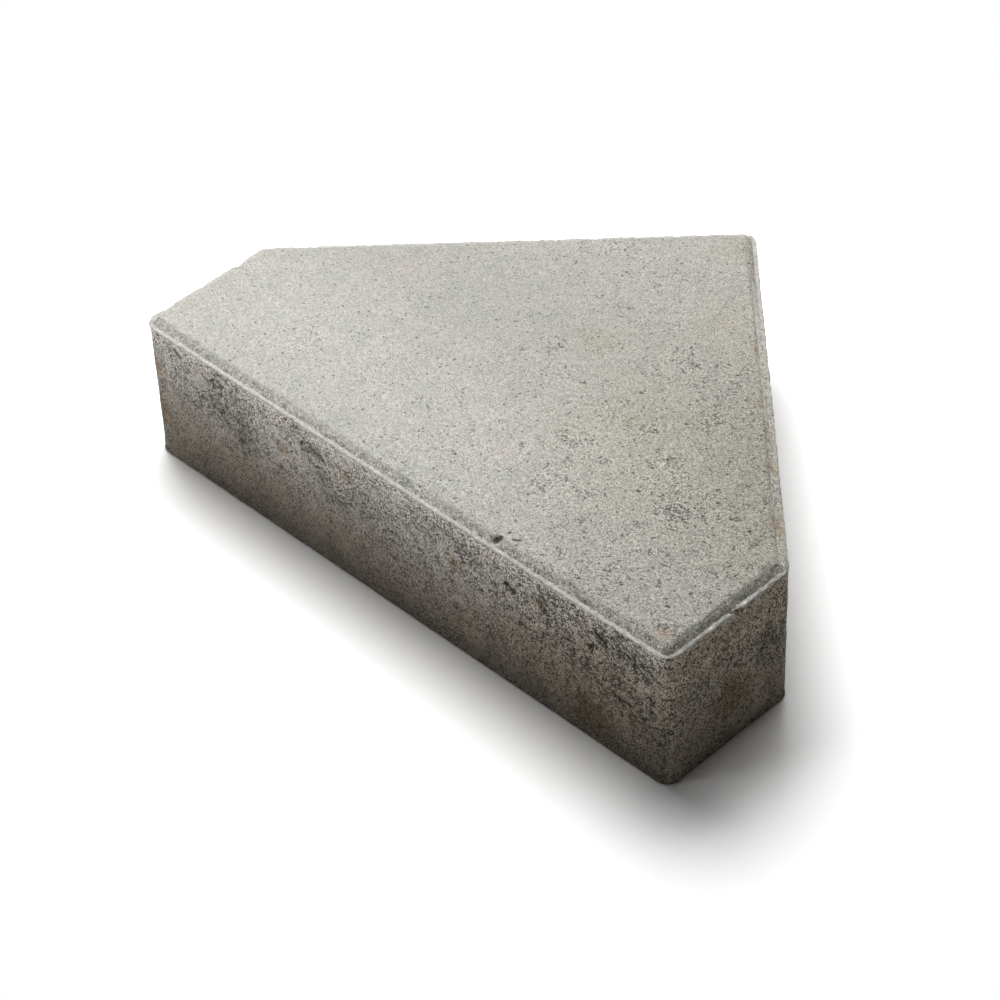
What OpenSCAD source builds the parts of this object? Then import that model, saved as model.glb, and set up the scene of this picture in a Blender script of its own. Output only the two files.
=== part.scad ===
// Concrete paving stone for the edge of paving laid on the diagonal.
// Its plan is a rectangle under a right-angled gable: one long side, two short sides square to it,
// and two legs that meet at a square apex. It is pressed in one piece, wearing face up.
// Round the wearing face the press head leaves a bevel and, outside it, a narrow flat lip.

/* [Outline] */
// Length of the long side, from one short side to the other
base_length = 292; // [240:1:420]
// Length of each short side, from the long side to the leg
short_side = 67; // [40:1:120]
// Radius of the upright corners
corner_radius = 6; // [6:0.5:15]

/* [Thickness] */
// Thickness from the bed face to the wearing face
thickness = 70; // [50:1:120]

/* [Arris] */
// Width of the flat lip at the outside of the arris
lip_width = 1.9; // [1:0.1:2]
// Width of the bevel in plan, from the lip to the wearing face
bevel_width = 2.8; // [1.5:0.1:2.9]
// Depth of the lip below the wearing face
bevel_depth = 2.5; // [1.5:0.1:4]
// Radius that eases the bevel into the wearing face
arris_radius = 2; // [1:0.1:2]

/* [Hidden] */
$fn = 96;

// Centres of the round corners. The legs stand at 45 degrees to the long side.
// The plan is centred on its bounding box, with the long side toward -y.
half_base = base_length / 2 - corner_radius;
short_run = short_side - corner_radius - corner_radius * tan(22.5);
depth = 2 * corner_radius + short_run + half_base;
base_y = corner_radius - depth / 2;
shoulder_y = base_y + short_run;
apex_y = shoulder_y + half_base;

// Upright section through the rim. x = 0 is the line of the corner centres and z = 0 is the lip.
// Inside the arris it rises a little more, because the wearing face is struck off level afterwards.
lip_height = thickness - bevel_depth;
bevel_foot = corner_radius - lip_width;
bevel_angle = atan2(bevel_depth, bevel_width);
arris_centre = [
    bevel_foot - bevel_width - arris_radius * tan(bevel_angle / 2),
    bevel_depth - arris_radius
];
arris_steps = 4;
arris = [
    for (k = [arris_steps : -1 : 0])
        let (a = bevel_angle * k / arris_steps)
        arris_centre + arris_radius * [sin(a), cos(a)]
];
// The last facet of the arris, carried on to x = 0.
last_facet = arris[arris_steps] - arris[arris_steps - 1];
crown = arris[arris_steps].y - arris[arris_steps].x * last_facet.y / last_facet.x;
below_bed = 5;
foot = -lip_height - below_bed;

module rim_section() {
    polygon([
        [0, foot],
        [corner_radius, foot],
        [corner_radius, 0],
        [bevel_foot, 0],
        for (k = [0 : arris_steps - 1]) arris[k],
        [0, crown]
    ]);
}

// Block with round corners and the rim all round. One corner centre is at the origin, and the
// others are behind it by length along -x and by width along -y.
module rimmed_block(length, width) {
    corners = [[0, 0], [0, -width], [-length, -width], [-length, 0]];
    runs = [width, length, width, length];
    translate([-length, -width, foot]) cube([length, width, crown - foot]);
    for (i = [0 : 3])
        translate(corners[i]) rotate([0, 0, -90 * i]) {
            rotate_extrude(angle = 90) rim_section();
            rotate([90, 0, 0]) linear_extrude(height = runs[i]) rim_section();
        }
}

// The long side and the short sides come from a rectangle, which runs on past the apex.
module rectangle() {
    width = 2 * base_length;
    translate([half_base, base_y + width, 0]) rimmed_block(2 * half_base, width);
}

// The legs come from a square set on its corner. It is a hair wider than the rectangle, which trims
// it at the shoulders. Below the shoulders the square gives way to the rectangle.
module gable() {
    hair = 0.03;
    leg = (half_base + hair) * sqrt(2);
    translate([0, apex_y, 0]) rotate([0, 0, 45]) rimmed_block(leg, leg);
    translate([-base_length, shoulder_y - base_length, -2 * thickness])
        cube([2 * base_length, base_length, 3 * thickness]);
}

// The bed face and the wearing face: everything between two level planes.
module between_faces() {
    translate([-base_length, -base_length, 0])
        cube([2 * base_length, 2 * base_length, thickness]);
}

module paving_stone() {
    color("darkgray") intersection() {
        between_faces();
        translate([0, 0, lip_height]) rectangle();
        translate([0, 0, lip_height]) gable();
    }
}

paving_stone();
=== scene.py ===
import math

import bmesh
import bpy
from mathutils import Matrix, Vector, geometry, noise


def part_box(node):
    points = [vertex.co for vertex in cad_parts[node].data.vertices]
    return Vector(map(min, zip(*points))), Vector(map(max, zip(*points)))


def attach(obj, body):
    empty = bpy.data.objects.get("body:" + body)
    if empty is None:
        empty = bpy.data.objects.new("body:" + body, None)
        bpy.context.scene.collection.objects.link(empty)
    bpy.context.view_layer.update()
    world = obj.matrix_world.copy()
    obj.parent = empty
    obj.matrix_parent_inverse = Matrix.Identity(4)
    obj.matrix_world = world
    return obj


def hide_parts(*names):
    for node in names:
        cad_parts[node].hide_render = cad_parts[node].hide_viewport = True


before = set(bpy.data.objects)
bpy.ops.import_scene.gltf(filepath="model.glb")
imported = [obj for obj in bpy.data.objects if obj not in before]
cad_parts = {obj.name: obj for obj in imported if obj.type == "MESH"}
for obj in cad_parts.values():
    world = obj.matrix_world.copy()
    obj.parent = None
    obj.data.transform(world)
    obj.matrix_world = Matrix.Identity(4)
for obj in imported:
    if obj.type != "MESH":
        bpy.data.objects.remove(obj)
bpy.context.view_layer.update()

# The stone
# One block of dry-cast concrete, pressed in a steel mould with its wearing face up. The press head
# leaves the bevel and the flat lip round that face, and the mould walls drag the sides as the stone
# is pushed out, so the sides are open and pitted while the wearing face is close and sandy.
MM = 0.001
box_low, box_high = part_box("paving_stone")
half_length = box_high.x / MM
front = box_low.y / MM
thickness = box_high.z / MM
corner_radius = 6.0
bevel_depth = 2.5
arris_radius = 2.0

# The lip is 0.2 mm wider than the CAD part's, and the bevel that much narrower.
lip_width = 2.1
bevel_width = 2.6

# The corner centres in plan. Every outline of the stone lies at one reach outside this pentagon.
half_core = half_length - corner_radius
front_core = front + corner_radius
apex_core = box_high.y / MM - corner_radius
shoulder = apex_core - half_core
corner_centres = [
    Vector((half_core, front_core)),
    Vector((half_core, shoulder)),
    Vector((0.0, apex_core)),
    Vector((-half_core, shoulder)),
    Vector((-half_core, front_core)),
]


def outward(point):
    """The nearest point of the pentagon of corner centres in plan, and the direction away from it."""
    spot = point.to_2d()
    nearest = None
    for start, end in zip(corner_centres, corner_centres[1:] + corner_centres[:1]):
        run = end - start
        share = min(max((spot - start).dot(run) / run.length_squared, 0.0), 1.0)
        foot = start + share * run
        if nearest is None or (spot - foot).length < (spot - nearest).length:
            nearest = foot
    return nearest, (spot - nearest).normalized()


def at_reach(point, reach, height):
    """The point straight outside the given one in plan, at a reach from the corner centres."""
    foot, direction = outward(point)
    place = foot + reach * direction
    return Vector((place.x, place.y, height))


# The upright section through the rim, from the wearing face outward and down to the bed. The lip's
# outer edge is eased through one point halfway round, lip_edge_cut in from the lip and from the side.
lip_height = thickness - bevel_depth
bevel_foot = corner_radius - lip_width
bevel_angle = math.atan2(bevel_depth, bevel_width)
arris_reach = bevel_foot - bevel_width - arris_radius * math.tan(bevel_angle / 2)
arris_rows = 4
bevel_rows = 3
side_rows = 58
lip_root = 0.25
lip_edge = 0.55
lip_edge_cut = 0.29 * lip_edge
bed_edge = 0.3
arris_section = [
    (
        arris_reach + arris_radius * math.sin(bevel_angle * row / arris_rows),
        thickness - arris_radius + arris_radius * math.cos(bevel_angle * row / arris_rows),
    )
    for row in range(1, arris_rows + 1)
]
arris_end, arris_foot = arris_section[-1]
bevel_section = [
    (
        arris_end + (bevel_foot - arris_end) * row / bevel_rows,
        arris_foot + (lip_height - arris_foot) * row / bevel_rows,
    )
    for row in range(1, bevel_rows + 1)
]
lip_section = [
    (bevel_foot + lip_root, lip_height),
    (bevel_foot + lip_width / 2, lip_height),
    (corner_radius - lip_edge, lip_height),
    (corner_radius - lip_edge_cut, lip_height - lip_edge_cut),
    (corner_radius, lip_height - lip_edge),
]
side_top = lip_height - lip_edge
side_section = [
    (corner_radius, side_top + (bed_edge - side_top) * row / side_rows)
    for row in range(1, side_rows + 1)
]

# The wearing face is a square grid, cut along the two legs of the gable.
face_half = half_core + arris_reach
face_front = front_core - arris_reach
face_apex = apex_core + arris_reach * math.sqrt(2)
columns = 294
cell = 2 * face_half / columns
cut_slack = cell / 20
rows = round((face_apex - face_front) / cell)
stone = bmesh.new()
bmesh.ops.create_grid(
    stone,
    x_segments=columns,
    y_segments=rows,
    size=1.0,
    matrix=Matrix.Translation((0.0, (face_apex + face_front) / 2, thickness))
    @ Matrix.Diagonal((face_half, (face_apex - face_front) / 2, 1.0, 1.0)),
)
for hand in (-1, 1):
    bmesh.ops.bisect_plane(
        stone,
        geom=stone.verts[:] + stone.edges[:] + stone.faces[:],
        dist=cut_slack,
        plane_co=(0.0, face_apex, thickness),
        plane_no=(hand, 1.0, 0.0),
        clear_outer=True,
    )

# Round the corners the edge of the grid is divided until its steps on the side are short enough.
longest_step = 1.5
corner_cuts = 4
for _ in range(corner_cuts):
    long_edges = []
    for edge in stone.edges:
        if edge.is_boundary:
            a, b = (at_reach(v.co, corner_radius, 0.0) for v in edge.verts)
            if (a - b).length > longest_step:
                long_edges.append(edge)
    bmesh.ops.subdivide_edges(stone, edges=long_edges, cuts=1)
rim = [edge for edge in stone.edges if edge.is_boundary]
for vert in {v for edge in rim for v in edge.verts}:
    vert.co = at_reach(vert.co, arris_reach, thickness)

# The rim and the sides are drawn out of the edge of the wearing face, ring by ring.
arris_share = stone.verts.layers.float.new("arris")
bevel_share = stone.verts.layers.float.new("bevel")
lip_share = stone.verts.layers.float.new("lip")
side_share = stone.verts.layers.float.new("side")


def draw_out(edges, section, part):
    """One more ring of faces for each (reach, height) of a part's section. Returns the last edges."""
    for reach, height in section:
        made = bmesh.ops.extrude_edge_only(stone, edges=edges)["geom"]
        edges = [e for e in made if isinstance(e, bmesh.types.BMEdge) and e.is_boundary]
        for vert in {v for edge in edges for v in edge.verts}:
            vert.co = at_reach(vert.co, reach, height)
            for share in (arris_share, bevel_share, lip_share, side_share):
                vert[share] = 1.0 if share is part else 0.0
    return edges


rim = draw_out(rim, arris_section, arris_share)
rim = draw_out(rim, bevel_section, bevel_share)
inner_lip = rim
outer_lip = draw_out(rim, lip_section[:-1], lip_share)
rim = draw_out(outer_lip, lip_section[-1:], lip_share)
rim = draw_out(rim, side_section, side_share)
rim = draw_out(rim, [(corner_radius - bed_edge, 0.0)], side_share)
bmesh.ops.edgeloop_fill(stone, edges=rim)
bmesh.ops.recalc_face_normals(stone, faces=stone.faces)
for face in stone.faces:
    face.smooth = True
for edge in inner_lip + outer_lip + rim:
    edge.smooth = False


def wave(point, size, octaves=2):
    """Smooth noise from about -1 to 1, with bumps about size millimetres wide."""
    octave_fade = 1.0
    octave_step = 2.0
    return noise.fractal(point / size, octave_fade, octave_step, octaves)


def rise(low, high, value):
    """0 below low and 1 above high, with a smooth step between."""
    share = min(max((value - low) / (high - low), 0.0), 1.0)
    return share * share * (3.0 - 2.0 * share)


def near(point, spots):
    """How deep a point lies in soft round spots, each a place and a radius: 1 at a spot's middle."""
    return max(math.exp(-((point - place).length / radius) ** 2) for place, radius in spots)


# Tears and chips: the line that each follows over the surface, its half width and its depth. The
# floor, the brim and the margin of a tear are in half widths from that line.
tear_floor = 0.3
tear_brim = 1.2
tear_margin = 3
tear_raggedness = 0.5
tear_break_size = 1.7
tears = [
    ([(54.2, -101.8, 68.8), (55.6, -100.8, 69.4)], 1.5, 1.0),
    ([(55.0, -99.5, 69.5), (56.8, -95.0, 70.0)], 0.5, 0.35),
    ([(60.2, -97.9, 70.0), (63.0, -96.3, 70.0)], 0.6, 0.4),
    ([(108.0, front, 58.5), (112.5, front, 55.5), (114.0, front, 54.0)], 1.3, 1.2),
    ([(124.0, front, 57.0), (131.0, front, 53.0), (138.0, front, 48.5)], 0.8, 1.0),
    ([(116.0, front, 33.0), (121.0, front, 30.5), (126.0, front, 31.5)], 1.0, 1.0),
    ([(-128.0, front, 62.5), (-124.0, front, 60.5)], 1.1, 1.1),
    ([(62.0, front, 53.0), (66.0, front, 51.0)], 1.5, 1.2),
    ([(-45.0, front, 56.5), (-40.0, front, 54.5)], 1.4, 1.1),
    ([(half_length - 0.6, -69.2, lip_height), (half_length, -66.4, lip_height - 0.9)], 1.5, 1.0),
    ([(-56.8, front, lip_height), (-55.6, front, lip_height - 0.8)], 0.8, 0.6),
    ([(142.6, front + 0.6, lip_height - 1.6), (145.2, front + 2.8, lip_height - 1.8)], 0.9, 0.8),
]
tear_paths = [
    ([Vector(point) for point in path], half_width, depth) for path, half_width, depth in tears
]


def tear_depth(point):
    """Depth in millimetres of the tears and chips at a point of the surface."""
    deepest = 0.0
    for path, half_width, depth in tear_paths:
        length = (path[-1] - path[0]).length
        if (point - path[0]).length > length + tear_margin * half_width:
            continue
        broken_width = half_width * (1.0 + tear_raggedness * wave(point, tear_break_size))
        for start, end in zip(path, path[1:]):
            _, share = geometry.intersect_point_line(point, start, end)
            foot = start + min(max(share, 0.0), 1.0) * (end - start)
            away = (point - foot).length / broken_width
            deepest = max(deepest, depth * (1.0 - rise(tear_floor, tear_brim, away)))
    return deepest


# Patches of the sides where the mix stayed open, stains of rust and of olive clay, clusters of pits
# and bare pebbles on the wearing face: the middle and the radius of each.
open_patches = [
    (Vector((112.0, front, 45.0)), 26.0),
    (Vector((132.0, front, 28.0)), 16.0),
    (Vector((64.0, front, 50.0)), 13.0),
    (Vector((-43.0, front, 54.0)), 14.0),
    (Vector((-100.0, front, 52.0)), 18.0),
    (Vector((half_length, -85.0, 40.0)), 18.0),
    (Vector((half_length, -50.0, 30.0)), 15.0),
    (Vector((half_core, 20.0, 42.0)), 22.0),
    (Vector((-half_core, 15.0, 40.0)), 26.0),
    (Vector((-45.0, 72.0, 45.0)), 22.0),
    (Vector((40.0, 75.0, 30.0)), 20.0),
]
rust_spots = [
    (Vector((-half_length + 3.0, front, 46.0)), 8.0),
    (Vector((-half_length + 4.0, front, 24.0)), 9.0),
    (Vector((-63.0, front, 47.0)), 3.4),
    (Vector((-26.0, front, 55.0)), 3.8),
    (Vector((80.0, front, 54.0)), 4.0),
    (Vector((34.0, front, 46.0)), 5.0),
    (Vector((105.0, front, 14.0)), 12.0),
    (Vector((half_length, -70.0, 24.0)), 13.0),
    (Vector((128.0, -22.0, 69.0)), 6.0),
    (Vector((51.5, 49.0, 69.0)), 3.0),
    (Vector((77.0, 23.5, 69.0)), 3.5),
    (Vector((89.0, 15.0, 69.0)), 3.0),
    (Vector((104.0, 0.0, 69.0)), 3.5),
    (Vector((136.5, -97.0, 69.0)), 4.5),
    (Vector((90.0, 75.0, 40.0)), 14.0),
    (Vector((-90.0, 60.0, 30.0)), 15.0),
]
olive_spots = [
    (Vector((45.0, -14.0, thickness)), 15.0),
    (Vector((3.0, 10.0, thickness)), 13.0),
    (Vector((68.0, -2.0, thickness)), 12.0),
    (Vector((98.0, 2.0, thickness)), 13.0),
    (Vector((125.0, -25.0, thickness)), 13.0),
    (Vector((2.0, 92.0, thickness)), 12.0),
    (Vector((131.0, -52.0, thickness)), 10.0),
    (Vector((30.0, 52.0, thickness)), 11.0),
]
pit_clusters = [
    (Vector((-6.0, -4.0, thickness)), 4.0),
    (Vector((-17.0, 29.0, thickness)), 5.0),
    (Vector((39.0, 24.0, thickness)), 5.0),
    (Vector((8.0, 31.0, thickness)), 4.0),
    (Vector((17.0, 38.0, thickness)), 4.0),
    (Vector((37.0, -41.0, thickness)), 5.0),
    (Vector((35.0, -18.0, thickness)), 5.0),
    (Vector((55.0, -16.0, thickness)), 5.0),
    (Vector((69.0, 3.0, thickness)), 5.0),
    (Vector((72.0, -25.0, thickness)), 7.0),
    (Vector((91.0, -11.0, thickness)), 4.0),
    (Vector((-35.0, 60.0, thickness)), 5.0),
    (Vector((47.0, -67.0, thickness)), 7.0),
    (Vector((95.0, -45.0, thickness)), 8.0),
    (Vector((-85.0, -70.0, thickness)), 7.0),
]
pebbles = [
    (Vector((30.5, 3.5, thickness)), 2.7),
    (Vector((21.5, -2.6, thickness)), 2.4),
    (Vector((58.0, -50.0, thickness)), 1.8),
]
pebble_core = 0.8
pebble_rim = 1.2

# Single pits. The floor and the brim of a pit are in radii from its middle.
pit_spacing = 3.4
pit_radius = 0.75
pit_depth = 0.45
pit_floor = 0.3
pit_brim = 1.3
smallest_pit = 0.5
pit_spread = 0.7
pit_draw = 91.7


def pits(point, density):
    """Depth of small round pits on the wearing face. Density is the share of the cells with a pit."""
    distances, places = noise.voronoi(point / pit_spacing)
    chance = 0.5 + 0.5 * noise.cell(places[0] * pit_draw)
    if chance > density:
        return 0.0
    radius = pit_radius * (smallest_pit + pit_spread * chance / density)
    return pit_depth * (1.0 - rise(pit_floor, pit_brim, distances[0] * pit_spacing / radius))


def face_openness(point):
    """How open the wearing face is: close at the left, pitted toward the right and in the clusters."""
    drift = 45.0 * wave(point, size=38.0)
    across = rise(low=-90.0, high=140.0, value=point.x + drift)
    return min(1.0, 0.02 + 0.50 * across + 0.5 * near(point, pit_clusters))


def side_openness(point):
    """How open a side is: in patches, more toward the top."""
    patches = wave(point, size=26.0) + 0.9 * near(point, open_patches) - 0.25
    above_bed = rise(low=2.0, high=34.0, value=point.z)
    return rise(low=-0.25, high=0.75, value=patches) * above_bed


def face_relief(point):
    """Depth of the wearing face below its plane (swell, sand, pits and tears), and how far it is hole."""
    swell = 0.09 + 0.08 * wave(point, size=21.0)
    sand = 0.05 + 0.06 * wave(point, size=2.3)
    pit_density = 0.35 * face_openness(point) ** 2
    hole = max(pits(point, pit_density), tear_depth(point))
    return swell + sand + hole, min(1.0, hole / pit_depth)


def rim_relief(point):
    """Depth of the bevel and lip inside their section (rough, crumbs gone), and how far it is hole."""
    rough = 0.16 + 0.22 * wave(point, size=2.2, octaves=3)
    crumbs = 0.35 * rise(low=0.15, high=0.70, value=wave(point, size=3.0, octaves=3))
    torn = tear_depth(point)
    return rough + crumbs + torn, min(1.0, 0.6 * crumbs + torn)


# The least depth of a side, the sizes of its drag marks, and how far its plates and voids are drawn out.
side_skin = 0.12
streak_width = 1.6
streak_length = 14.0
drag_squeeze = 0.75


def side_relief(point):
    """Depth of a side inside its plane (drag marks, plates of paste, voids), and how far it is hole."""
    drawn = Vector((point.x, point.y, drag_squeeze * point.z))
    streaked = Vector((point.x / streak_width, point.y / streak_width, point.z / streak_length))
    openness = side_openness(point)
    streaks = 0.12 + 0.12 * wave(streaked, size=1.0)
    plates = 0.18 * rise(low=-0.4, high=0.4, value=wave(drawn, size=7.0))
    void_start = 0.66 - 0.32 * openness
    void_full = 1.00 - 0.30 * openness
    void_depth = 0.35 + 0.85 * openness
    voids = rise(void_start, void_full, 0.9 * wave(drawn, size=2.4, octaves=3) + 0.1)
    torn = tear_depth(point)
    depth = side_skin + streaks + plates + void_depth * voids + torn
    return depth, min(1.0, voids + torn)


# How far the lip's edge has crumbled, in millimetres, on the sides that face each way in plan.
edge_wear = [
    (Vector((0.0, -1.0)), 0.15),
    (Vector((1.0, 0.0)), 0.25),
    (Vector((1.0, 1.0)).normalized(), 0.25),
    (Vector((-1.0, 1.0)).normalized(), 0.6),
    (Vector((-1.0, 0.0)), 1.8),
]
wear_reach = 4.0
wear_focus = 8

# The lip lies lower along the two sides that meet at one corner, and the corner next to it is worn.
lip_drop = 0.4
low_corner = Vector((1.0, -1.0)).normalized()
corner_wear = 0.8
worn_corner = Vector((-1.0, -1.0)).normalized()


def edge_break(point, way):
    """How far the lip's outer edge has crumbled inward at a point of the rim that faces a way in plan."""
    shares = [max(way.dot(facing), 0.0) ** wear_focus for facing, _ in edge_wear]
    worn = sum(share * wear for share, (_, wear) in zip(shares, edge_wear)) / sum(shares)
    near_lip = rise(lip_height - wear_reach, lip_height - lip_edge, point.z)
    crumbling = 0.06 + 0.94 * rise(low=-0.10, high=0.65, value=wave(point, size=4.2, octaves=4))
    return worn * near_lip * crumbling


def lip_sag(point):
    """How much lower the lip lies along the long side and the short side to its right."""
    facing = rise(low=0.0, high=0.6, value=outward(point)[1].dot(low_corner))
    return lip_drop * facing * min((thickness - point.z) / bevel_depth, 1.0)


# The relief goes inward only, so the stone keeps its size. It dies out toward the bed.
void_share = stone.verts.layers.float.new("void")
open_share = stone.verts.layers.float.new("open")
rust_share = stone.verts.layers.float.new("rust")
olive_share = stone.verts.layers.float.new("olive")
pebble_share = stone.verts.layers.float.new("pebble")
stone.normal_update()
moves = []
for vert in stone.verts:
    point = vert.co.copy()
    lost = Vector((0.0, 0.0, 0.0))
    if vert[side_share]:
        depth, hole = side_relief(point)
        depth += corner_wear * rise(low=0.85, high=1.0, value=outward(point)[1].dot(worn_corner))
        depth *= rise(low=-0.4, high=1.2, value=point.z)
        vert[open_share] = side_openness(point)
    elif vert[lip_share] or vert[bevel_share] or vert[arris_share]:
        depth, hole = rim_relief(point)
        lost.z = lip_sag(point)
        vert[open_share] = face_openness(point)
    else:
        depth, hole = face_relief(point)
        vert[open_share] = face_openness(point)
        uncovered = [rise(pebble_core, pebble_rim, (point - p).length / r) for p, r in pebbles]
        vert[pebble_share] = 1.0 - min(uncovered)
    if vert[side_share] or vert[lip_share]:
        foot, way = outward(point)
        inset = corner_radius - (point.to_2d() - foot).length
        lost += way.to_3d() * edge_break(point, way) * (1.0 - inset / lip_width)
    vert[void_share] = hole
    vert[rust_share] = near(point, rust_spots)
    vert[olive_share] = near(point, olive_spots)
    moves.append((vert, vert.normal * -max(depth, 0.0) - lost))
for vert, move in moves:
    vert.co += move
bmesh.ops.triangulate(stone, faces=[f for f in stone.faces if len(f.verts) > 4])
bmesh.ops.scale(stone, vec=(MM, MM, MM), verts=stone.verts)
stone_mesh = bpy.data.meshes.new("paving_stone_cast")
stone.to_mesh(stone_mesh)
stone.free()
paving_stone = bpy.data.objects.new("paving_stone_cast", stone_mesh)
bpy.context.scene.collection.objects.link(paving_stone)


class Wire:
    """A socket of a node tree that takes part in sums like a number."""

    def __init__(self, tree, socket=None):
        self.tree = tree
        self.socket = socket

    def node(self, kind, settings=None, inputs=None, output=0):
        """Adds a node of a kind: its settings first, then its sockets' values or links."""
        made = self.tree.nodes.new("ShaderNode" + kind)
        for name, value in (settings or {}).items():
            setattr(made, name, value)
        for name, value in (inputs or {}).items():
            if isinstance(value, Wire):
                self.tree.links.new(value.socket, made.inputs[name])
            else:
                made.inputs[name].default_value = value
        return Wire(self.tree, made.outputs[output]) if len(made.outputs) else made

    def math(self, operation, *values):
        return self.node("Math", {"operation": operation}, dict(enumerate(values)))

    def __add__(self, other):
        return self.math("ADD", self, other)

    __radd__ = __add__

    def __sub__(self, other):
        return self.math("SUBTRACT", self, other)

    def __rsub__(self, other):
        return self.math("SUBTRACT", other, self)

    def __mul__(self, other):
        return self.math("MULTIPLY", self, other)

    __rmul__ = __mul__

    def most(self, other):
        """This value or the other, whichever is larger."""
        return self.math("MAXIMUM", self, other)

    def between(self, low, high):
        """This value, held between two ends."""
        return self.math("MINIMUM", self.most(low), high)

    def rise(self, low, high):
        """0 below low and 1 above high, with a smooth step between."""
        ends = {"Value": self, "From Min": low, "From Max": high}
        return self.node("MapRange", {"interpolation_type": "SMOOTHSTEP"}, ends)

    def fall(self, low, high):
        """1 below low and 0 above high, with a smooth step between."""
        return 1.0 - self.rise(low, high)

    def tint(self, start, end):
        """The first colour where this value is 0, the second where it is 1."""
        return self.node("Mix", {"data_type": "RGBA"}, {0: self, 6: start, 7: end}, 2)

    def shade(self, colour):
        """The colour made lighter or darker by this value."""
        grey = self.node("CombineColor", None, {"Red": self, "Green": self, "Blue": self})
        multiply = {"data_type": "RGBA", "blend_type": "MULTIPLY"}
        return self.node("Mix", multiply, {0: 1.0, 6: colour, 7: grey}, 2)


# Places on the stone, in millimetres from its middle and up from its bed. The sides' patterns are
# drawn out upward by the mould, and their layers lie flat.
drag_scale = (1.0, 1.0, 0.8)
layer_scale = (0.62, 0.62, 1.1)
concrete = bpy.data.materials.new("concrete")
concrete.use_nodes = True
concrete.node_tree.nodes.clear()
cast = Wire(concrete.node_tree)
place = cast.node(
    "VectorMath",
    {"operation": "SCALE"},
    {0: cast.node("TexCoord", output="Object"), "Scale": 1.0 / MM},
)
upright = cast.node("SeparateXYZ", None, {0: place}, "Z")
along = cast.node("SeparateXYZ", None, {0: place}, "X")
back = cast.node("SeparateXYZ", None, {0: place}, "Y")
drawn_place = cast.node("VectorMath", {"operation": "MULTIPLY"}, {0: place, 1: drag_scale})
layer_place = cast.node("VectorMath", {"operation": "MULTIPLY"}, {0: place, 1: layer_scale})

# Every texture runs from 0 to 1, about this middle.
middle = 0.5


def share_of(name):
    """One of the mesh's own shares, from 0 to 1."""
    return cast.node("Attribute", {"attribute_name": name}, None, "Fac")


def mottle(size, detail=2.0, where=place, roughness=0.5):
    """Noise from 0 to 1 whose patches are about size millimetres wide."""
    sockets = {"Vector": where, "Scale": 1.0 / size, "Detail": detail, "Roughness": roughness}
    return cast.node("TexNoise", None, sockets, "Fac")


def grains(size, where=place):
    """A random value from 0 to 1 for each grain of sand, with grains about size millimetres wide."""
    sockets = {"Vector": where, "Scale": 1.0 / size}
    return cast.node("SeparateColor", None, {0: cast.node("TexVoronoi", None, sockets, "Color")}, "Red")


def lines(texture, width):
    """Thin curved lines where a texture crosses its middle: 1 on a line and 0 off it."""
    offset = texture - middle
    return offset.math("ABSOLUTE", offset).fall(0.0, width)


def blend(weighted):
    """The sum of textures about their middle, from pairs of a weight and a texture."""
    total = None
    for weight, texture in weighted:
        part = weight * (texture - middle)
        total = part if total is None else total + part
    return total


def ragged(value, texture, amount):
    """A value that a texture raises and lowers, by up to half the amount either way."""
    return value + amount * texture - middle * amount


on_side, on_lip, on_bevel = (share_of(name) for name in ("side", "lip", "bevel"))
in_void, in_open, in_pebble = (share_of(name) for name in ("void", "open", "pebble"))
in_rust, in_olive = (share_of(name) for name in ("rust", "olive"))


def dark_grains(texture, few, more, edge):
    """The dark ones among a texture's grains: few where the mix is close, and more where it is open."""
    return (texture - few - more * in_open).fall(0.0, edge)


# The wearing face: close, sandy paste, a little pink here and greenish there, tan in a few patches,
# and toward the right more open, with short cracks round its grains.
pink_paste = (0.482, 0.455, 0.424, 1.0)
green_paste = (0.452, 0.455, 0.414, 1.0)
warm_paste = (0.472, 0.453, 0.385, 1.0)
olive_paste = (0.445, 0.422, 0.335, 1.0)
tan_paste = (0.400, 0.300, 0.200, 1.0)
pebble_paste = (0.530, 0.525, 0.455, 1.0)
dark_grain_and_pit_shade = (0.085, 0.077, 0.066, 1.0)
quartz = (0.780, 0.760, 0.700, 1.0)
crack_width = 0.042
salt = grains(size=0.36)
sand = grains(size=0.75)
grit = grains(size=1.6)
fine = mottle(size=0.55, detail=2.0, roughness=0.7)
lumps = mottle(size=3.2, detail=4.0, roughness=0.65)
cloud = mottle(size=13.0, detail=4.0, roughness=0.6)
face_colour = cloud.rise(0.30, 0.70).tint(green_paste, pink_paste)
warm_back = 0.25 + 0.35 * back.rise(-95.0, -20.0)
warm_share = along.rise(-60.0, 120.0) * warm_back
face_colour = warm_share.tint(face_colour, warm_paste)
olive_edge = mottle(size=5.0, detail=4.0, roughness=0.65)
olive_stain = 0.55 * ragged(0.8 * in_olive, olive_edge, amount=1.8).rise(0.30, 0.90)
face_colour = olive_stain.tint(face_colour, olive_paste)
tan_edge = mottle(size=1.5, detail=3.0, roughness=0.6)
tan_stain = 0.6 * ragged(in_rust, tan_edge, amount=1.6).rise(0.3, 0.9)
face_colour = tan_stain.tint(face_colour, tan_paste)

# The face is palest at its front left and darker toward the back, and painted darker toward the right
# as painted shade where the key light falls off. Its finest grains stand out more where the mix is open.
salt_weight = 0.48 + 1.10 * in_open
open_sand_weight = 0.10 * in_open
face_grain = blend(
    [
        (0.16, sand),
        (0.08, grit),
        (0.18, lumps),
        (0.40, fine),
        (salt_weight, salt),
        (open_sand_weight, sand),
    ]
)
back_fade = 0.24 * ragged(back, mottle(size=30.0), amount=40.0).rise(-80.0, 15.0)
right_painted_shade = 0.18 * along.rise(10.0, 125.0)
face_shade_and_tone = 1.27 - back_fade - right_painted_shade + 0.14 * (cloud - middle)
face_colour = ((1.0 + face_grain) * face_shade_and_tone).shade(face_colour)
pebble_cover = 0.8 * in_pebble
face_colour = pebble_cover.tint(face_colour, pebble_paste)
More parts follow.
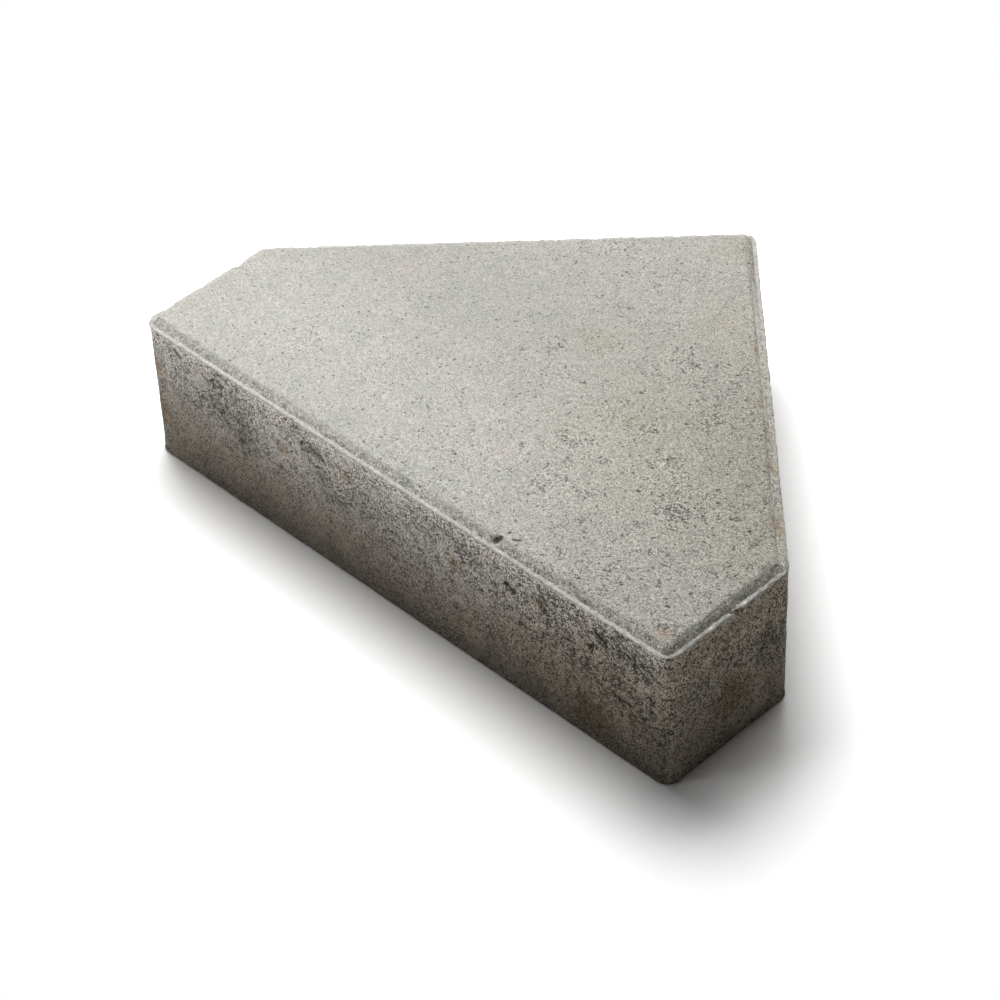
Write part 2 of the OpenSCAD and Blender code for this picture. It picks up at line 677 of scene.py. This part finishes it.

# Dark and bright grains, then the cracks and pits, painted dark as painted shade in the hollows.
dark_salt = 0.45 * dark_grains(salt, few=0.025, more=0.03, edge=0.02)
dark_sand = 0.70 * dark_grains(sand, few=0.009, more=0.018, edge=0.006)
dark_sand = dark_sand.most(dark_salt)
face_colour = dark_sand.tint(face_colour, dark_grain_and_pit_shade)
bright_sand = 0.40 * sand.rise(0.984, 0.995)
face_colour = bright_sand.tint(face_colour, quartz)
cracked = (mottle(size=4.2, detail=3.0, roughness=0.6) + 0.25 * in_open).rise(0.70, 0.73)
crack_lines = lines(mottle(size=2.6, detail=3.0, roughness=0.6), crack_width)
pebble_ring = (4.0 * in_pebble * (1.0 - in_pebble)).rise(0.5, 0.9) * lumps.rise(0.48, 0.62)
face_cracks = 0.85 * crack_lines * cracked + 0.4 * pebble_ring
face_pits = (in_void + 1.1 * fine + 0.9 * lumps - 1.0).rise(0.32, 0.60)
face_holes = face_pits.most(face_cracks)
face_hole_shade = 0.85 * face_holes
face_colour = face_hole_shade.tint(face_colour, dark_grain_and_pit_shade)

# The sides: plates of dragged paste among coarser grit, cracked and open in patches, with clay and
# rust near the bed. The top few millimetres are the finer, paler mix of the wearing face, painted paler
# still as painted light.
upper_paste = (0.420, 0.393, 0.358, 1.0)
lower_paste = (0.445, 0.388, 0.308, 1.0)
chalk = (0.600, 0.575, 0.530, 1.0)
dark_grain_and_void_shade = (0.045, 0.040, 0.034, 1.0)
rust_paste = (0.235, 0.150, 0.082, 1.0)
clay_paste = (0.440, 0.372, 0.282, 1.0)
darkest_level = 0.12
palest_level = 1.45
side_salt = grains(size=0.34, where=drawn_place)
side_sand = grains(size=0.8, where=drawn_place)
side_grit = grains(size=1.6, where=drawn_place)
side_fine = mottle(size=0.7, detail=2.0, where=drawn_place, roughness=0.7)
drag = mottle(size=3.8, detail=5.0, where=drawn_place, roughness=0.7)
open_cloud = mottle(size=20.0, detail=3.0)
plate_field = mottle(size=6.0, detail=5.0, where=drawn_place, roughness=0.62)
plate = ragged(plate_field, open_cloud, amount=0.3).rise(0.51, 0.57)
side_grain = blend([(2.75, side_salt), (0.28, side_sand), (0.15, side_grit), (0.36, side_fine)])
side_grain = (1.10 - 0.45 * plate) * side_grain + 0.50 * (drag - middle) + 0.12 * (plate - middle)
right_contrast = 0.74 + 0.66 * along.rise(-70.0, 100.0)
upper_contrast = 0.65 + 0.35 * upright.rise(8.0, 40.0)
side_level = 1.05 + right_contrast * upper_contrast * side_grain
side_level = side_level.between(darkest_level, palest_level)
short_side = along.rise(142.0, 145.0)
height_on_side = ragged(upright, mottle(size=11.0, detail=3.0), amount=20.0)
warmth = 40.0 * short_side + 25.0 * along.rise(20.0, 120.0)
side_colour = (height_on_side - warmth).rise(4.0, 56.0).tint(lower_paste, upper_paste)
clay = along.rise(10.0, 110.0) * height_on_side.fall(8.0, 40.0)
clay_stain = 0.7 * clay
side_colour = clay_stain.tint(side_colour, clay_paste)
rust_edge = mottle(size=2.6, detail=4.0, roughness=0.65)
rust_stain = 0.70 * ragged(in_rust, rust_edge, amount=1.8).rise(0.30, 1.0)
side_colour = rust_stain.tint(side_colour, rust_paste)
chalk_grains = 0.35 * side_sand.rise(0.965, 0.99)
side_colour = chalk_grains.tint(side_colour, chalk)

# The sides are painted darkest at the bed and palest under the lip, less so on the short side at the
# right: painted shade where the floor beside the bed lies in shadow, and painted light under the lip.
# The long side is also painted darker toward its right end and the corner there, and paler at its left
# foot, as painted shade and light. The patches are the stone's own tone.
bed_painted_shade = 0.29
under_lip_painted_light = 0.50 * upright.rise(57.0, 66.0)
short_side_painted_light = 0.40 - 0.42 * height_on_side.rise(0.0, 58.0) - 0.52 * upright.rise(52.0, 65.0)
long_side_painted_shade = 0.04 * along.rise(40.0, 115.0)
corner_painted_shade = 0.12 * along.rise(126.0, 138.0) * (1.0 - short_side)
left_foot_painted_light = 0.20 * along.fall(-142.0, -108.0) * height_on_side.fall(10.0, 42.0)
patch_tone = 0.81 + 0.38 * open_cloud - 0.10 * in_open
side_shade_and_tone = bed_painted_shade + height_on_side.rise(-4.0, 68.0) + 0.24 * height_on_side.rise(34.0, 56.0)
side_shade_and_tone = side_shade_and_tone + under_lip_painted_light + short_side * short_side_painted_light
side_shade_and_tone = side_shade_and_tone * (1.0 - long_side_painted_shade - corner_painted_shade) + left_foot_painted_light
side_shade_and_tone = side_shade_and_tone * patch_tone
side_colour = (side_level * side_shade_and_tone).shade(side_colour)

# Dark grains, then cracks along the layers and voids, painted dark as painted shade in the hollows.
pepper = 0.60 * (side_sand - 0.05 * in_open).fall(0.02, 0.06)
side_colour = pepper.tint(side_colour, dark_grain_and_void_shade)
crack_share = 0.12 * in_open + 0.08 * upright.rise(10.0, 50.0) + 0.04 * along.rise(0.0, 100.0)
cracked_side = (mottle(size=3.4, detail=4.0, roughness=0.65) + crack_share).rise(0.61, 0.69)
layers = mottle(size=5.0, detail=5.0, where=layer_place, roughness=0.62)
side_cracks = lines(layers, crack_width) * cracked_side
side_voids = ragged(in_void, drag, amount=0.6).rise(0.3, 0.85)
side_holes = side_voids.most(side_cracks)
hole_shade = 0.60 + 0.28 * along.rise(-60.0, 80.0)
side_colour = (hole_shade * side_holes).tint(side_colour, dark_grain_and_void_shade)

# The lip is the tightest paste, so it is the palest. The bevel is the paste of the face, but coarser.
lip_paste = (0.565, 0.545, 0.505, 1.0)
lip_cover = 0.8
right_leg = along.rise(10.0, 50.0) * back.rise(-48.0, -30.0)
# Along the right leg of the gable the bevel is painted paler, as painted light where it faces away from
# the key.
bevel_level_and_painted_light = 1.05 + 0.65 * right_leg + 0.8 * (side_salt - middle)
bevel_level_and_painted_light = bevel_level_and_painted_light + 0.3 * (side_sand - middle) + 0.3 * (side_grit - middle)
bevel_colour = bevel_level_and_painted_light.shade(face_colour)
colour = on_bevel.tint(face_colour, bevel_colour)
right_lip = along.rise(138.0, 144.0)
crumb_weight = 0.4 + 1.4 * right_lip
crumb = crumb_weight * (mottle(size=1.6, detail=3.0, roughness=0.65) - middle)
whole_lip = on_lip - in_void + 1.2 * lumps + 0.5 * fine + crumb - 0.95
whole_lip = (whole_lip - 0.20 * right_lip - 0.50 * right_leg).rise(0.20, 0.70)
# The lip's eased outer edge is painted paler, most on the short side at the right: painted light where
# the edge turns away from the lamps. The lip along that short side is darker.
lip_edge_painted_light = upright.fall(66.5, 67.05)
lip_grain_and_painted_light = 0.66 + 0.5 * sand + 0.3 * fine + (0.25 + 0.8 * right_lip) * lip_edge_painted_light - 0.34 * right_lip
lip_colour = lip_grain_and_painted_light.shade(lip_paste)
colour = (lip_cover * whole_lip).tint(colour, lip_colour)
lip_foot = 0.85 * upright.rise(65.2, 66.4) * lumps.rise(0.35, 0.6)
# Under the lip the pale paste runs down the side, and is painted paler there as painted light, less on
# the short side at the right.
lip_foot_painted_light = 1.25 - 0.5 * right_lip
side_colour = lip_foot.tint(side_colour, lip_foot_painted_light.shade(lip_colour))
colour = on_side.tint(colour, side_colour)

# The finest relief is a bump: grains stand up, and cracks, pits and voids go in.
bump_strength = 0.9
bump_depth = 0.30
bevel_coarseness = 0.7
specular_level = 0.25
roughness = 0.86 + 0.12 * sand
face_height = 0.2 * salt + 0.3 * sand + 0.3 * grit + 0.5 * lumps + 0.9 * fine
face_height = face_height - 0.3 * dark_sand - 1.2 * face_holes
side_height = 0.3 * side_salt + 0.4 * side_sand + 0.4 * side_grit + side_fine + drag + plate
side_height = side_height - 1.2 * side_holes
coarse = on_side.most(bevel_coarseness * on_bevel)
grain = coarse * side_height + (1.0 - coarse) * face_height
bump = cast.node(
    "Bump",
    None,
    {"Strength": bump_strength, "Distance": bump_depth * MM, "Height": grain},
    "Normal",
)
surface = cast.node(
    "BsdfPrincipled",
    None,
    {
        "Base Color": colour,
        "Roughness": roughness,
        "Specular IOR Level": specular_level,
        "Normal": bump,
    },
)
cast.node("OutputMaterial", None, {"Surface": surface})
stone_mesh.materials.append(concrete)
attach(paving_stone, "root")
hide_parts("paving_stone")

# The floor
# A plain white sweep under the stone. The camera sees it as white paper that keeps the stone's
# shadow, and further out it runs into the white of the backdrop. Its sizes are in metres.
floor_half = 3.0
paper_end = 0.25
backdrop_start = 0.34
paper = (0.80, 0.80, 0.80, 1.0)
seen_paper = (1.65, 1.65, 1.65, 1.0)
sweep = bmesh.new()
bmesh.ops.create_grid(sweep, x_segments=1, y_segments=1, size=floor_half)
floor_mesh = bpy.data.meshes.new("floor")
sweep.to_mesh(floor_mesh)
sweep.free()
floor = bpy.data.objects.new("floor", floor_mesh)
bpy.context.scene.collection.objects.link(floor)
white_paper = bpy.data.materials.new("white_paper")
white_paper.use_nodes = True
white_paper.node_tree.nodes.clear()
sheet = Wire(white_paper.node_tree)
seen = sheet.node("LightPath", output="Is Camera Ray")
for ray in ("Is Glossy Ray", "Is Transmission Ray"):
    seen = seen.most(sheet.node("LightPath", output=ray))
from_stone = sheet.node(
    "VectorMath",
    {"operation": "LENGTH"},
    {0: sheet.node("TexCoord", output="Object")},
    "Value",
)
matt = sheet.node("BsdfDiffuse", None, {"Color": seen.tint(paper, seen_paper)})
white = sheet.node("Emission", None, {"Strength": 1.0})
far_off = seen * from_stone.rise(paper_end, backdrop_start)
sweep_surface = sheet.node("MixShader", None, {0: far_off, 1: matt, 2: white})
sheet.node("OutputMaterial", None, {"Surface": sweep_surface})
floor_mesh.materials.append(white_paper)

# The studio
# Two soft boxes hang above the stone, to its left and behind it, and three weak ones fill from the
# left, from low in front and from the right. The room adds little, and is white where the camera
# looks straight at it. Places and sizes are in metres.
room_level = 0.005
room_tint = (1.0, 0.99, 0.97, 1.0)
room = bpy.data.worlds.new("room")
bpy.context.scene.world = room
room.use_nodes = True
room.node_tree.nodes.clear()
air = Wire(room.node_tree)
fill = air.node("Background", None, {"Color": room_tint, "Strength": room_level})
backdrop = air.node("Background", None, {"Strength": 1.0})
straight = air.node("LightPath", output="Is Camera Ray")
room_surface = air.node("MixShader", None, {0: straight, 1: fill, 2: backdrop})
air.node("OutputWorld", None, {"Surface": room_surface})


def soft_box(name, stand, aim, size, watts):
    """A square area lamp at stand that faces aim."""
    lamp = bpy.data.lights.new(name, "AREA")
    lamp.size = size
    lamp.energy = watts
    holder = bpy.data.objects.new(name, lamp)
    holder.location = stand
    holder.rotation_euler = (Vector(aim) - Vector(stand)).to_track_quat("-Z", "Y").to_euler()
    bpy.context.scene.collection.objects.link(holder)


above_floor = (0.0, 0.0, 0.05)
below_ceiling = (-0.3, 0.3, 0.0)
soft_box("key", stand=(-0.293, 0.169, 0.775), aim=above_floor, size=0.5, watts=5.2)
soft_box("ceiling", stand=(-0.3, 0.3, 0.75), aim=below_ceiling, size=0.9, watts=3.6)
soft_box("left_fill", stand=(-0.725, 0.0, 0.388), aim=above_floor, size=0.5, watts=0.67)
soft_box("front_fill", stand=(-0.273, -0.749, 0.115), aim=above_floor, size=0.22, watts=1.3)
soft_box("right_fill", stand=(0.740, -0.269, 0.189), aim=above_floor, size=0.3, watts=0.18)

# The camera
# It stands in front of the stone's right-hand corner, about 1.4 m away, and looks down on the
# wearing face through a long lens. Its place is in metres and its angles are in degrees.
camera_stand = (0.74937, -0.76065, 0.94829)
camera_angles = (48.0632, 1.9123, 44.6739)
camera = bpy.data.cameras.new("camera")
camera.sensor_width = 36.0
camera.lens = 123.899
viewpoint = bpy.data.objects.new("camera", camera)
viewpoint.location = camera_stand
viewpoint.rotation_euler = [math.radians(angle) for angle in camera_angles]
bpy.context.scene.collection.objects.link(viewpoint)
bpy.context.scene.camera = viewpoint
bpy.context.scene.view_settings.view_transform = "Standard"
